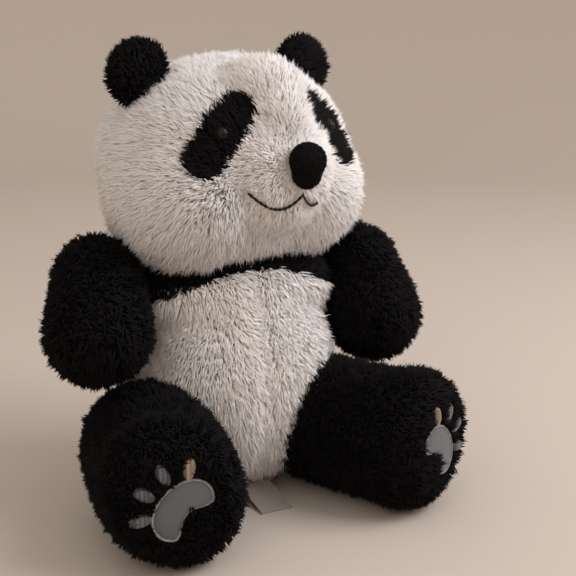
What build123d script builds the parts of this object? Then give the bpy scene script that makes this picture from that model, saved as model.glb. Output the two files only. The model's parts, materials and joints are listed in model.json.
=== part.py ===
from build123d import *
import math
import os

# A seated plush panda, built as the pieces it is sewn from. It faces -Y, +Z is up, +X is its own left,
# and the origin is on the ground at the middle of its box. All sizes are in millimetres.

# ---- Driving dimensions ----
CLOTH = 3.0          # pile fabric, backing and short pile together
GAP = 0.8            # room between pieces that move on each other
FORWARD = 21.54      # the torso stands this far behind the middle of the box

TORSO_RADII = (68.0, 54.0, 77.0)
TORSO_MID = (0.0, 4.0 + FORWARD, 75.0)
TORSO_LEAN = -10.0   # degrees, leaning back
TORSO_HALF_WIDTH = 62.5
SHOULDER_BULGE_RADII = (74.0, 36.0, 29.0)
SHOULDER_BULGE_MID = (0.0, 1.0 + FORWARD, 126.0)
YOKE_BOTTOM = 131.0  # the black shoulder yoke starts here

HEAD_RADII = (79.0, 68.0, 61.0)
HEAD_MID = (0.0, 10.0 + FORWARD, 207.0)
HEAD_TURN = 9.5      # degrees that the head looks towards its own left
GUSSET_HALF_WIDTH = 17.0
HEAD_SWEEP_RADII = (96.0, 96.0, 74.0)   # the space that the turning and nodding head needs
MUZZLE_RADII = (37.0, 30.0, 34.0)
MUZZLE_MID = (0.0, -38.0 + FORWARD, 203.0)
NOSE_RADII = (11.0, 9.0, 13.0)
NOSE_MID = (0.0, -67.0 + FORWARD, 211.0)
STITCH_WIDTH = 2.0
STITCH_HEIGHT = 1.0

PATCH_X = 40.0       # middle of the left eye patch, on the face
PATCH_Z = 229.0
PATCH_HALF_LENGTH = 27.0
PATCH_HALF_WIDTH = 12.5
PATCH_SLANT = 36.0   # degrees that its top leans towards the nose
EYE_RADIUS = 4.5
EYE_SINK = 1.5       # the middle of the eye's ball lies this far inside the face
SHANK_RADIUS = 1.5
SHANK_LENGTH = 11.0
WASHER_RADIUS = 6.5
WASHER_DEPTH = 7.0   # from the face to the washer
WASHER_THICKNESS = 1.5

EAR_HALF_WIDTH = 22.0
EAR_HALF_THICKNESS = 7.0
EAR_HEIGHT = 25.0
EAR_ROUND_HEAD = 43.0   # degrees from the top of the head
EAR_TILT = 43.0

NECK_PIVOT = (0.0, HEAD_MID[1], 147.0)
NECK_RADIUS = 26.0
NECK_BOTTOM = 124.0
NECK_TOP = 140.0
NECK_BALL_RADIUS = 12.0

ARM_X = 90.5            # from the toy's middle to the middle of the shoulder
ARM_Y = -4.0 + FORWARD
ARM_TOP_RADIUS = 26.0
PAW_RADIUS = 31.0
ARM_TOP = 26.0          # above the shoulder
ARM_LENGTH = 92.0
SHOULDER_RADIUS = 17.0  # round stub that meets the torso's side
SHOULDER_Z = {"left": 134.0, "right": 142.0}   # it slumps a little towards its left
ARM_SWING = {"left": 15.0, "right": 41.0}      # degrees forward of hanging straight down
ARM_LEAN = 13.0        # degrees that the paw stands outward

SIDES = ("left", "right")
HIP_X = {"left": 50.0, "right": 69.0}      # the seat is pushed a little towards its right
HIP_Y = -28.0 + FORWARD
HIP_Z = 41.5
LEG_SPLAY = {"left": 24.0, "right": 12.0}  # degrees outward from straight ahead
LEG_LIFT = 12.0         # degrees of room each way in the hip socket
THIGH_RADIUS = 40.0
ANKLE_RADIUS = 37.0
ANKLE_REACH = 54.0
SOLE_REACH = 88.0
SOLE_RADIUS = 32.0
FOOT_RADII = (38.0, 43.0, 24.0)   # sideways, upward, along the leg
FOOT_REACH = 68.0
FOOT_RISE = 1.5
TOES_OUT = 32.0         # degrees that the foot rolls outward
PAD_TURN = 45.0         # degrees that the pads turn outward
PAD_HEIGHT = 1.2
PAD_RADII = (19.0, 14.0)
PAD_DROP = 2.0
PAD_HEEL_RADIUS = 13.0
PAD_HEEL_DROP = 16.0
TOE_RADII = (3.4, 6.2)
TOE_ARC = 23.0
TOE_ANGLES = [-54.0, -18.0, 18.0, 54.0]

TAIL_RADIUS = 14.0
TAIL_Z = 34.0
TAIL_REACH = 15.5       # from its pivot to its middle
TAIL_ROOT = 43.3        # from the torso's middle back to the tail's pivot
BEAN_BAG_RADII = (27.0, 12.0, 11.0)
BEAN_BAG_MID = (0.0, 11.0 + FORWARD, 19.0)
LABEL_SIZE = (21.0, 34.0, 0.8)
LABEL_SLOPE = 12.0
LABEL_START = 0.6       # share of the torso's depth, in front of its middle
BIG = 400.0             # larger than the whole toy

pieces = {}


def keep(name, shape):
    """Stores the largest solid of a shape as one named piece."""
    pieces[name] = max(shape.solids(), key=lambda solid: solid.volume)


def keep_pair(name, shape):
    """Stores a left piece and its mirror image on the right."""
    keep(name + "_left", shape)
    keep(name + "_right", mirror(shape, about=Plane.YZ))


def ellipsoid(radii, middle, lean=0.0, shrink=0.0):
    ball = scale(Sphere(1.0), by=tuple(radius - shrink for radius in radii))
    return Location(middle, (lean, 0, 0)) * ball


def block(x=(-BIG, BIG), y=(-BIG, BIG), z=(-BIG, BIG)):
    """A box between two planes each way, for cutting panels apart."""
    size = [span[1] - span[0] for span in (x, y, z)]
    middle = tuple((span[0] + span[1]) / 2 for span in (x, y, z))
    return Location(middle) * Box(*size)


LEFT = block(x=(0, BIG))
RIGHT = block(x=(-BIG, 0))


def revolve_profile(outline):
    return revolve(Plane.XZ * make_face(outline), axis=Axis.Z)


# ---- Legs, in a frame with x outward, y up and z along the leg from the hip ----
def leg_place(side):
    """Where a leg goes, as if both were left legs; the right one is mirrored afterwards."""
    splay = math.radians(LEG_SPLAY[side])
    frame = Plane(
        origin=(HIP_X[side], HIP_Y, HIP_Z),
        x_dir=(math.cos(splay), math.sin(splay), 0),
        z_dir=(math.sin(splay), -math.cos(splay), 0),
    )
    return frame.location


def on_side(side, shape):
    return shape if side == "left" else mirror(shape, about=Plane.YZ)


def leg_blank(shrink):
    """The whole leg: a ball at the hip, a thigh, and a rounded foot cut flat at the sole."""
    thigh = THIGH_RADIUS - shrink
    ankle = ANKLE_RADIUS - shrink
    sole = SOLE_RADIUS - shrink
    diagonal = thigh * math.sqrt(0.5)
    hip_end = ThreePointArc((0, -thigh), (diagonal, -diagonal), (thigh, 0))
    side = Spline((thigh, 0), (ankle, ANKLE_REACH), (sole, SOLE_REACH), tangents=[(0, 1), (-0.4, 1)])
    end = Polyline((sole, SOLE_REACH), (0, SOLE_REACH), (0, -thigh))
    leg = revolve_profile(hip_end + side + end)
    ball = scale(Sphere(1.0), by=tuple(radius - shrink for radius in FOOT_RADII))
    foot = Location((0, FOOT_RISE, FOOT_REACH), (0, 0, -TOES_OUT)) * ball
    return (leg + foot) & block(z=(-BIG, SOLE_REACH))


def make_legs():
    to_panel = block(z=(-BIG, SOLE_REACH - CLOTH))
    whole = leg_blank(0)
    filling = leg_blank(CLOTH) & to_panel
    cover = (whole - leg_blank(CLOTH)) & to_panel
    bean = Pos(0, -PAD_DROP) * Ellipse(*PAD_RADII) - Pos(0, -PAD_DROP - PAD_HEEL_DROP) * Circle(PAD_HEEL_RADIUS)
    for side in SIDES:
        place = leg_place(side)
        pads = place * Location((0, 0, SOLE_REACH), (0, 0, -PAD_TURN))
        parts = {
            "leg_outer_panel": place * (cover & LEFT),
            "leg_inner_panel": place * (cover & RIGHT),
            "leg_stuffing": place * filling,
            "sole_panel": place * (whole - to_panel),
            "sole_pad": pads * extrude(bean, PAD_HEIGHT),
        }
        for number, angle in enumerate(TOE_ANGLES, start=1):
            toe = Pos(0, -PAD_DROP) * Rot(0, 0, -angle) * Pos(0, TOE_ARC) * Ellipse(*TOE_RADII)
            parts[f"toe_pad_{number}"] = pads * extrude(toe, PAD_HEIGHT)
        for name, shape in parts.items():
            keep(f"{name}_{side}", on_side(side, shape))


def hip_sockets():
    """The space that both thighs need as they lift and drop: a ball and a cone from each hip."""
    room = THIGH_RADIUS + GAP
    lift = math.radians(LEG_LIFT)
    near = room / math.cos(lift)
    far = near + SOLE_REACH * math.tan(lift)
    cone = Pos(0, 0, SOLE_REACH / 2) * Cone(near, far, SOLE_REACH)
    socket = Sphere(room) + cone
    return leg_place("left") * socket + on_side("right", leg_place("right") * socket)


# ---- Torso ----
def torso_blank(shrink):
    belly = ellipsoid(TORSO_RADII, TORSO_MID, TORSO_LEAN, shrink)
    return belly + ellipsoid(SHOULDER_BULGE_RADII, SHOULDER_BULGE_MID, shrink=shrink)


def make_torso():
    limits = block(x=(-TORSO_HALF_WIDTH, TORSO_HALF_WIDTH), z=(0, BIG))
    inner_limits = block(
        x=(-TORSO_HALF_WIDTH + CLOTH, TORSO_HALF_WIDTH - CLOTH),
        z=(CLOTH, BIG),
    )
    neck_pocket = Pos(0, NECK_PIVOT[1], (NECK_BOTTOM - GAP + BIG) / 2) * Cylinder(
        NECK_RADIUS + GAP, BIG - NECK_BOTTOM + GAP
    )
    cuts = hip_sockets() + ellipsoid(HEAD_SWEEP_RADII, HEAD_MID) + neck_pocket
    whole = (torso_blank(0) & limits) - cuts
    filling = (torso_blank(CLOTH) & inner_limits) - cuts
    cover = whole - filling
    beans = ellipsoid(BEAN_BAG_RADII, BEAN_BAG_MID)
    keep("torso_stuffing", filling - beans)
    keep("bean_bag", beans)
    keep("base_panel", cover & block(z=(0, CLOTH)))
    keep("shoulder_yoke", cover & block(z=(YOKE_BOTTOM, BIG)))
    sides = cover & block(z=(CLOTH, YOKE_BOTTOM))
    front = sides & block(y=(-BIG, TORSO_MID[1]))
    back = sides & block(y=(TORSO_MID[1], BIG))
    keep("belly_panel_left", front & LEFT)
    keep("belly_panel_right", front & RIGHT)
    keep("back_panel_left", back & LEFT)
    keep("back_panel_right", back & RIGHT)


def make_label():
    """A blank satin care label, sewn in at the front of the base and lying out between the legs."""
    width, length, thickness = LABEL_SIZE
    slope = math.radians(LABEL_SLOPE)
    start = TORSO_MID[1] - TORSO_RADII[1] * LABEL_START
    low = thickness / 2 + 0.3 + length / 2 * math.sin(slope)
    middle = (0, start - length / 2 * math.cos(slope), low)
    keep("care_label", Location(middle, (LABEL_SLOPE, 0, 0)) * Box(width, length, thickness))


def make_tail():
    back = TORSO_MID[1] + TAIL_ROOT
    keep("tail", Location((0, back + TAIL_REACH, TAIL_Z)) * Sphere(TAIL_RADIUS))
    return (0, back, TAIL_Z)


# ---- Arms, hanging down -Z from the shoulder, before they swing forward ----
def arm_blank(shrink):
    """The arm with round ends, leaning outward, and a round stub on the shoulder's own axis."""
    above = ARM_TOP_RADIUS - shrink
    below = PAW_RADIUS - shrink
    upper = ARM_TOP - ARM_TOP_RADIUS
    lower = ARM_TOP - ARM_LENGTH + PAW_RADIUS
    half = math.sqrt(0.5)
    top = ThreePointArc((0, upper + above), (above * half, upper + above * half), (above, upper))
    paw = ThreePointArc((below, lower), (below * half, lower - below * half), (0, lower - below))
    closing = Line((0, lower - below), (0, upper + above))
    body = Rot(0, -ARM_LEAN, 0) * revolve_profile(top + Line((above, upper), (below, lower)) + paw + closing)
    stub_end = TORSO_HALF_WIDTH + GAP + shrink - ARM_X
    stub = Location((stub_end / 2, 0, 0), (0, 90, 0)) * Cylinder(SHOULDER_RADIUS - shrink, -stub_end)
    return body + stub


def make_arms():
    filling = arm_blank(CLOTH)
    cover = arm_blank(0) - filling
    outside = Rot(0, -ARM_LEAN, 0) * LEFT
    for side in SIDES:
        place = Location((ARM_X, ARM_Y, SHOULDER_Z[side]), (-ARM_SWING[side], 0, 0))
        parts = {
            "arm_outer_panel": cover & outside,
            "arm_inner_panel": cover - outside,
            "arm_stuffing": filling,
        }
        for name, shape in parts.items():
            placed = place * shape
            keep(f"{name}_{side}", on_side(side, placed))


# ---- Neck ----
def make_neck():
    middle = Pos(0, NECK_PIVOT[1], (NECK_BOTTOM + NECK_TOP) / 2)
    height = NECK_TOP - NECK_BOTTOM
    cup = Location(NECK_PIVOT) * Sphere(NECK_BALL_RADIUS + GAP / 2)
    core = Cylinder(NECK_RADIUS - CLOTH, height)
    keep("neck_stuffing", middle * core - cup)
    keep("neck_collar", middle * (Cylinder(NECK_RADIUS, height) - core))


# ---- Head ----
def patch_frame():
    """A plane on the face at the middle of the left eye patch, with z outward and y up the face."""
    x = PATCH_X / HEAD_RADII[0]
    z = (PATCH_Z - HEAD_MID[2]) / HEAD_RADII[2]
    y = -math.sqrt(1 - x**2 - z**2)
    outward = Vector(x / HEAD_RADII[0], y / HEAD_RADII[1], z / HEAD_RADII[2]).normalized()
    across = Vector(0, 0, 1).cross(outward).normalized()
    middle = (PATCH_X, HEAD_MID[1] + y * HEAD_RADII[1], PATCH_Z)
    return Plane(origin=middle, x_dir=across, z_dir=outward)


def make_head():
    whole = ellipsoid(HEAD_RADII, HEAD_MID)
    inside = ellipsoid(HEAD_RADII, HEAD_MID, shrink=CLOTH)
    cover = whole - inside
    face = patch_frame().location

    # Eyes: a domed button outside, a shank through the cloth and a washer behind it.
    shank = face * Pos(0, 0, -SHANK_LENGTH / 2) * Cylinder(SHANK_RADIUS, SHANK_LENGTH)
    dome = (face * Pos(0, 0, -EYE_SINK) * Sphere(EYE_RADIUS)) - whole
    washer = face * Pos(0, 0, -WASHER_DEPTH) * Cylinder(WASHER_RADIUS, WASHER_THICKNESS)
    keep_pair("eye", dome + shank)
    keep_pair("eye_washer", washer - shank)
    fixings = shank + washer
    both_fixings = fixings + mirror(fixings, about=Plane.YZ)

    # Cover panels: two eye patches, a strip over the top, and four sides.
    slanted = face * Rot(0, 0, PATCH_SLANT)
    prism = slanted * Pos(0, 0, -BIG / 40) * extrude(Ellipse(PATCH_HALF_WIDTH, PATCH_HALF_LENGTH), BIG / 10)
    both_prisms = prism + mirror(prism, about=Plane.YZ)
    keep_pair("eye_patch", (cover & prism) - shank)
    plain = cover - both_prisms
    keep("head_gusset", plain & block(x=(-GUSSET_HALF_WIDTH, GUSSET_HALF_WIDTH)))
    left_side = plain & block(x=(GUSSET_HALF_WIDTH, BIG))
    keep_pair("cheek_panel", left_side & block(y=(-BIG, HEAD_MID[1])))
    keep_pair("head_back_panel", left_side & block(y=(HEAD_MID[1], BIG)))
    keep("head_stuffing", inside - both_fixings)

    # Muzzle, nose and mouth.
    muzzle = ellipsoid(MUZZLE_RADII, MUZZLE_MID)
    muzzle_inside = ellipsoid(MUZZLE_RADII, MUZZLE_MID, shrink=CLOTH)
    muzzle_cover = muzzle - muzzle_inside - whole - both_prisms
    keep("muzzle_panel_left", muzzle_cover & LEFT)
    keep("muzzle_panel_right", muzzle_cover & RIGHT)
    keep("muzzle_stuffing", muzzle_inside - whole)
    nose = ellipsoid(NOSE_RADII, NOSE_MID) - muzzle
    keep("nose", nose)
    smile = ThreePointArc((0, 194), (15, 186.5), (28, 195))
    smile_line = Plane.XZ * trace(smile + mirror(smile, about=Plane.YZ), STITCH_WIDTH)
    thread = ellipsoid(MUZZLE_RADII, MUZZLE_MID, shrink=-STITCH_HEIGHT) - muzzle - whole - nose
    keep("mouth_stitching", thread & extrude(smile_line, BIG / 2, both=True) & block(y=(-BIG, MUZZLE_MID[1])))

    # The gathered neck opening, a soft ball that sits in the neck.
    keep("neck_gather", Location(NECK_PIVOT) * Sphere(NECK_BALL_RADIUS) - whole)


# ---- Ears, with the fold line along x and the ear standing up along z ----
def make_ears():
    angle = math.radians(EAR_ROUND_HEAD)
    foot_x = HEAD_RADII[0] * math.sin(angle)
    foot_z = HEAD_RADII[2] * math.cos(angle)
    normal = Vector(foot_x / HEAD_RADII[0] ** 2, 0, foot_z / HEAD_RADII[2] ** 2).normalized()
    lift = EAR_HALF_THICKNESS + GAP
    pivot = (
        foot_x + normal.X * lift,
        HEAD_MID[1],
        HEAD_MID[2] + foot_z + normal.Z * lift,
    )
    tall = scale(Sphere(1.0), by=(EAR_HALF_WIDTH, EAR_HALF_THICKNESS, EAR_HEIGHT)) & block(z=(0, BIG))
    rounded = scale(Sphere(1.0), by=(EAR_HALF_WIDTH, EAR_HALF_THICKNESS, EAR_HALF_THICKNESS))
    ear = tall + (rounded & block(z=(-BIG, 0)))
    place = Location(pivot, (0, EAR_TILT, 0))
    keep_pair("ear_front", place * (ear & block(y=(-BIG, 0))))
    keep_pair("ear_back", place * (ear & block(y=(0, BIG))))
    return pivot


def turn_head(names):
    """Turns the head's pieces, which were made looking straight ahead, about the upright through the neck."""
    turn = Pos(*NECK_PIVOT) * Rot(0, 0, HEAD_TURN) * Pos(*(-value for value in NECK_PIVOT))
    for name in names:
        pieces[name] = turn * pieces[name]


make_legs()
make_torso()
make_label()
make_arms()
make_neck()
before_head = set(pieces)
make_head()
ear_pivot = make_ears()
turn_head(set(pieces) - before_head)
tail_pivot = make_tail()

os.makedirs("parts", exist_ok=True)
for name, solid in pieces.items():
    export_step(solid, f"parts/{name}.step")

box = Compound(children=list(pieces.values())).bounding_box()
print("pieces", len(pieces))
print("box from", box.min, "to", box.max)
print("left ear pivot", ear_pivot)
print("tail pivot", tail_pivot)
print("hips", HIP_X, HIP_Y, HIP_Z)
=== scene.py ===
# %% [markdown]
# # A seated plush panda
# The toy is a handful of stuffed fabric bags covered in long pile. On the real thing most of what you see is
# pile, so this lesson spends most of its effort there. Each stuffed part gets a soft skin, and thousands of
# small tufts of real geometry grow out of that skin. Pads, nose, smile and label are separate pieces on top.

# %% Load the frame
import json
import math

import bmesh
import bpy
import numpy as np
from mathutils import Matrix, Vector, kdtree
from mathutils.bvhtree import BVHTree


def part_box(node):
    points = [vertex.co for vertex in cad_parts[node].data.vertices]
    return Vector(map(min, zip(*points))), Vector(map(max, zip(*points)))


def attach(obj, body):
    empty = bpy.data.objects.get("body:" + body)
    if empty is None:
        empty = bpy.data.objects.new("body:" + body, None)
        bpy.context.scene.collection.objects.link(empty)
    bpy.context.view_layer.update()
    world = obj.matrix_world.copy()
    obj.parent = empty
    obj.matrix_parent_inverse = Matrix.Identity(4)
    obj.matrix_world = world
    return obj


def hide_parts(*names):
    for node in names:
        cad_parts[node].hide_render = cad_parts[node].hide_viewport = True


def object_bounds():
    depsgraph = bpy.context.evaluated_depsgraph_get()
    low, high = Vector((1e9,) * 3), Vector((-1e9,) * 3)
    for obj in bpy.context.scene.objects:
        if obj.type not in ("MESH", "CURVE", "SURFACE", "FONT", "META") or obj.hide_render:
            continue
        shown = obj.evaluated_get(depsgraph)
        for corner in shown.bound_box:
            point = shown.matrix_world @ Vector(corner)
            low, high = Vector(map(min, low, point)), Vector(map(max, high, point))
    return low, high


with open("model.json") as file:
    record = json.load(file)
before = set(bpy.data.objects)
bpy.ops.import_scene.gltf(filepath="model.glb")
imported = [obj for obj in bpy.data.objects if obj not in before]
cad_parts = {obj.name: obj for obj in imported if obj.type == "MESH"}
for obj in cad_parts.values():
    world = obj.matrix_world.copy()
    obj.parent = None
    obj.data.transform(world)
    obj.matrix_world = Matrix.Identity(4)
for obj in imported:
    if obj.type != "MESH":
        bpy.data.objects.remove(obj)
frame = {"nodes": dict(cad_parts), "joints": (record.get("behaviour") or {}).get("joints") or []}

cad_low, cad_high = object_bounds()
print("CAD box in mm:", [round(v * 1000, 1) for v in (*cad_low, *cad_high)])

# %% [markdown]
# Every position below comes from the frame: the pivots of the joints, and the boxes of the nodes.
# Millimetres are easier to think in for a toy this small, so MM turns them into metres.

# %% Pivots and places
MM = 0.001
CLOTH = 3.0 * MM
SIDES = {"left": 1.0, "right": -1.0}
pivot = {joint["name"]: Vector(joint["pos_m"]) for joint in frame["joints"]}
axis = {joint["name"]: Vector(joint["axis"]).normalized() for joint in frame["joints"]}


def middle_and_half(node):
    """The middle and the half sizes of a CAD node's box."""
    low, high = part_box(node)
    return (low + high) / 2, (high - low) / 2


head_mid, _ = middle_and_half("head_stuffing")
neck_mid, _ = middle_and_half("neck_collar")
torso_mid = Vector((0, neck_mid.y - 6 * MM, 75 * MM))
yoke_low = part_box("shoulder_yoke")[0].z
print("joints:", sorted(pivot))

# %% [markdown]
# The head looks a little to its own left. It is easier to build it looking straight ahead and to turn it at
# the end, so places on it are first turned back. The nodding hinge runs across the head, so it tells how far
# the head is turned.

# %% Turn of the head
HEAD_TURN = math.atan2(axis["neck_nod"].y, axis["neck_nod"].x)
head_turn = (
    Matrix.Translation(head_mid) @ Matrix.Rotation(HEAD_TURN, 4, "Z") @ Matrix.Translation(-head_mid)
)
look_straight = head_turn.inverted()
nose_mid = look_straight @ middle_and_half("nose")[0]
patch_mid = look_straight @ middle_and_half("eye_patch_left")[0]
HEAD_HALF = Vector((79, 68, 61)) * MM
print("head turned by degrees:", round(math.degrees(HEAD_TURN), 1))

# %% [markdown]
# The camera stands to the toy's right, a little above it, with a fairly long lens. The lens shift only
# slides the picture sideways, as a view camera does, so the toy sits where it should in the frame.

# %% Camera
AZIMUTH = math.radians(-27)
ELEVATION = math.radians(12)
DISTANCE = 0.70
LOOK_HEIGHT = 150 * MM
camera = bpy.data.objects.new("camera", bpy.data.cameras.new("camera"))
bpy.context.scene.collection.objects.link(camera)
look_at = Vector((0, torso_mid.y - 4 * MM, LOOK_HEIGHT))
back = Vector((
    math.sin(AZIMUTH) * math.cos(ELEVATION),
    -math.cos(AZIMUTH) * math.cos(ELEVATION),
    math.sin(ELEVATION),
))
camera.location = look_at + back * DISTANCE
camera.rotation_euler = back.to_track_quat("Z", "Y").to_euler()
camera.data.lens = 70
camera.data.shift_x = 0.099
camera.data.shift_y = -0.066
camera.data.clip_start = 0.01
bpy.context.scene.camera = camera
print("camera at", [round(v, 3) for v in camera.location])

# %% [markdown]
# ## Stuffed shapes
# A stuffed part is a rounded form. It is easy to build as a union of a few balls: the balls are joined into
# one mesh, a voxel remesh melts them together, and a smooth pass blends the creases. The alternative,
# modelling each shape by hand from a box, gives no better surface under long pile.

# %% Balls melted into one skin
def turned(degrees, letter):
    """A turn about the axis X, Y or Z."""
    return Matrix.Rotation(math.radians(degrees), 3, letter)


def ball(middle, radii, turn=Matrix.Identity(3)):
    """A stretched ball as a 4x4 matrix that acts on the unit ball."""
    return Matrix.Translation(middle) @ (turn @ Matrix.Diagonal(radii)).to_4x4()


def add_mesh(name, mesh):
    piece = bpy.data.objects.new(name, mesh)
    bpy.context.scene.collection.objects.link(piece)
    return piece


def applied(piece):
    """Replaces a piece's mesh with what its modifiers make of it."""
    graph = bpy.context.evaluated_depsgraph_get()
    mesh = bpy.data.meshes.new_from_object(piece.evaluated_get(graph))
    piece.modifiers.clear()
    piece.data = mesh
    return piece


def melted(name, balls, voxel=4 * MM, rounds=6):
    """One closed skin round all the balls. A finer voxel keeps small shapes, more rounds soften creases."""
    form = bmesh.new()
    for matrix in balls:
        bmesh.ops.create_icosphere(form, subdivisions=4, radius=1.0, matrix=matrix)
    mesh = bpy.data.meshes.new(name)
    form.to_mesh(mesh)
    form.free()
    piece = add_mesh(name, mesh)
    remesh = piece.modifiers.new("melt", "REMESH")
    remesh.mode = "VOXEL"
    remesh.voxel_size = voxel
    smooth = piece.modifiers.new("blend", "SMOOTH")
    smooth.iterations = rounds
    return applied(piece)


def corners(piece):
    """The places of a mesh's corner points, as an array with one row for each."""
    flat = np.empty(len(piece.data.vertices) * 3)
    piece.data.vertices.foreach_get("co", flat)
    return flat.reshape(-1, 3)


def shade_smooth(mesh):
    mesh.polygons.foreach_set("use_smooth", [True] * len(mesh.polygons))


def set_corners(piece, places):
    piece.data.vertices.foreach_set("co", np.asarray(places, dtype=np.float64).ravel())
    piece.data.update()


# %% [markdown]
# A sewn bag swells until its cloth is tight. Blender's cloth solver does that with air pressure inside the
# mesh. The swelling is capped, so that the part keeps its size, and the floor stays flat under it.

# %% Puff a skin with cloth pressure
FLOOR_GAP = 0.4 * MM
PUFF_CAP = 2 * MM


def keep_above_floor(places):
    places[:, 2] = np.maximum(places[:, 2], FLOOR_GAP)
    return places


def puff(piece):
    start = corners(piece)
    cloth = piece.modifiers.new("puff", "CLOTH")
    cloth.settings.use_pressure = True
    cloth.settings.uniform_pressure_force = 4
    cloth.settings.effector_weights.gravity = 0
    cloth.settings.quality = 4
    cloth.collision_settings.use_self_collision = False
    for number in range(1, 21):
        bpy.context.scene.frame_set(number)
    applied(piece)
    bpy.context.scene.frame_set(1)
    move = corners(piece) - start
    length = np.linalg.norm(move, axis=1, keepdims=True)
    start = start + move * np.minimum(1.0, PUFF_CAP / np.maximum(length, 1e-9))
    set_corners(piece, keep_above_floor(start))


def subdivided(piece):
    piece.modifiers.new("finer", "SUBSURF").levels = 1
    applied(piece)
    set_corners(piece, keep_above_floor(corners(piece)))
    shade_smooth(piece.data)


# %% [markdown]
# ### The skins
# The torso is a leaning egg with shoulders. The head is a wide ball with a muzzle, a bridge above it and
# full cheeks. Arms are short sausages, and legs are thick thighs that end in a broad foot with a flat sole.

# %% Torso and head
SKIN_INSET = 2.5 * MM


def inset(radii):
    """Radii of the outer form, drawn in to where the skin lies. The pile stands out past it."""
    return Vector(radii) - Vector((SKIN_INSET, SKIN_INSET, SKIN_INSET))


torso_skin = melted("torso_skin", [
    ball(torso_mid, inset((0.068, 0.054, 0.077)), turned(-10, "X")),
    ball(torso_mid + Vector((0, -3 * MM, 51 * MM)), inset((0.070, 0.036, 0.029))),
])
muzzle_mid = head_mid + Vector((0, -48 * MM, -4 * MM))
cheeks = [head_mid + Vector((sign * 40 * MM, -12 * MM, -17 * MM)) for sign in SIDES.values()]
bridge_mid = muzzle_mid + Vector((0, 4 * MM, 27 * MM))
brow_mid = head_mid + Vector((0, -37 * MM, 41 * MM))
head_skin = melted("head_skin", [
    ball(head_mid, inset(HEAD_HALF)),
    *(ball(cheek, inset((0.042, 0.050, 0.042))) for cheek in cheeks),
    ball(muzzle_mid, inset((0.037, 0.031, 0.034))),
    ball(bridge_mid, inset((0.021, 0.028, 0.028))),
    ball(brow_mid, inset((0.025, 0.025, 0.021))),
])
print("head skin:", len(head_skin.data.vertices), "points")

# %% [markdown]
# ### Frames of the limbs
# Every limb is sewn on at a slant, and left and right are not posed alike. Each gets a frame of its own, a
# matrix found from its joint, so that one recipe in the limb's own coordinates serves both sides.

# %% Frames of the limbs
PAW_RADIUS = 31 * MM
SHOULDER_RADIUS = 26 * MM


def arm_frame(side):
    """The arm hangs down its own -Z, from the shoulder to the middle of the paw. Returns its length too."""
    low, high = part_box("arm_stuffing_" + side)
    inner = PAW_RADIUS - CLOTH
    outside = high.x - inner if side == "left" else low.x + inner
    paw = Vector((outside, low.y + inner, low.z + inner))
    shoulder = pivot["shoulder_" + side]
    turn = (shoulder - paw).to_track_quat("Z", "Y").to_matrix()
    return Matrix.Translation(shoulder) @ turn.to_4x4(), (shoulder - paw).length


def leg_frame(side):
    """x outward, y up, z along the leg from the hip."""
    outward = axis["hip_" + side] * -SIDES[side]
    along = Vector((0, 0, 1)).cross(outward) * -SIDES[side]
    turn = Matrix((outward, Vector((0, 0, 1)), along)).transposed()
    return Matrix.Translation(pivot["hip_" + side]) @ turn.to_4x4()


def ear_frame(side):
    """x along the fold line, z up the ear."""
    along = axis["ear_fold_" + side]
    across = Matrix.Rotation(HEAD_TURN, 3, "Z") @ Vector((0, 1, 0))
    turn = Matrix((along, across, along.cross(across))).transposed()
    return Matrix.Translation(pivot["ear_fold_" + side]) @ turn.to_4x4()


frames = {}
arm_lengths = {}
for side in SIDES:
    frames["arm_" + side], arm_lengths[side] = arm_frame(side)
    frames["leg_" + side] = leg_frame(side)
    frames["ear_" + side] = ear_frame(side)
print("arm lengths in mm:", {side: round(length / MM, 1) for side, length in arm_lengths.items()})

# %% [markdown]
# ### Limbs and small parts
# An arm is a row of balls that grow a little towards the paw. A leg is a row of equal balls with a broad one
# for the foot. Ears are thin, so they need a finer voxel, or the remesh would swallow them.

# %% Arms, legs, ears, tail and neck
THIGH_RADIUS = 40 * MM
FOOT_TURN = -32
skins = {"torso": torso_skin, "head": head_skin}
for side in SIDES:
    arm, leg, ear = (frames[limb + side] for limb in ("arm_", "leg_", "ear_"))
    steps = []
    for share in (0.0, 0.25, 0.5, 0.75, 1.0):
        radius = SHOULDER_RADIUS + (PAW_RADIUS - SHOULDER_RADIUS) * share
        steps.append(arm @ ball(Vector((0, 0, -arm_lengths[side] * share)), inset((radius, radius, radius))))
    skins["arm_" + side] = melted("arm_skin_" + side, steps)
    round_thigh = inset((THIGH_RADIUS, THIGH_RADIUS, THIGH_RADIUS))
    thigh = [leg @ ball(Vector((0, 0, z * MM)), round_thigh) for z in (0, 13, 26, 39, 52)]
    foot = ball(Vector((0, 1.5 * MM, 66 * MM)), inset((0.038, 0.043, 0.030)), turned(FOOT_TURN, "Z"))
    skins["leg_" + side] = melted("leg_skin_" + side, thigh + [leg @ foot])
    skins["ear_" + side] = melted("ear_skin_" + side, [
        ear @ ball(Vector((0, 0, 5 * MM)), (0.019, 0.005, 0.017)),
        ear @ ball(Vector((0, 0, -2 * MM)), (0.016, 0.006, 0.010)),
    ], voxel=2 * MM, rounds=2)
tail_mid, tail_half = middle_and_half("tail")
skins["tail"] = melted("tail_skin", [ball(tail_mid, inset(tail_half))], voxel=3 * MM)
collar = ball(neck_mid + Vector((0, 0, 3 * MM)), (0.034, 0.034, 0.011))
skins["neck"] = melted("neck_skin", [collar], voxel=3 * MM)

# %% [markdown]
# A plush foot has a flat sole of its own cloth. Points past the sole's plane are pressed back onto it, which
# is quicker than a boolean cut and leaves an even mesh. After that the large parts swell.

# %% Flat soles, then pressure
SOLE_REACH = 88 * MM
SOLE_INSET = 3 * MM
sole_level = SOLE_REACH - SOLE_INSET


def in_frame(places, limb):
    """Places in a limb's own coordinates."""
    matrix = np.array(frames[limb])
    return (places - matrix[:3, 3]) @ matrix[:3, :3]


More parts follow.
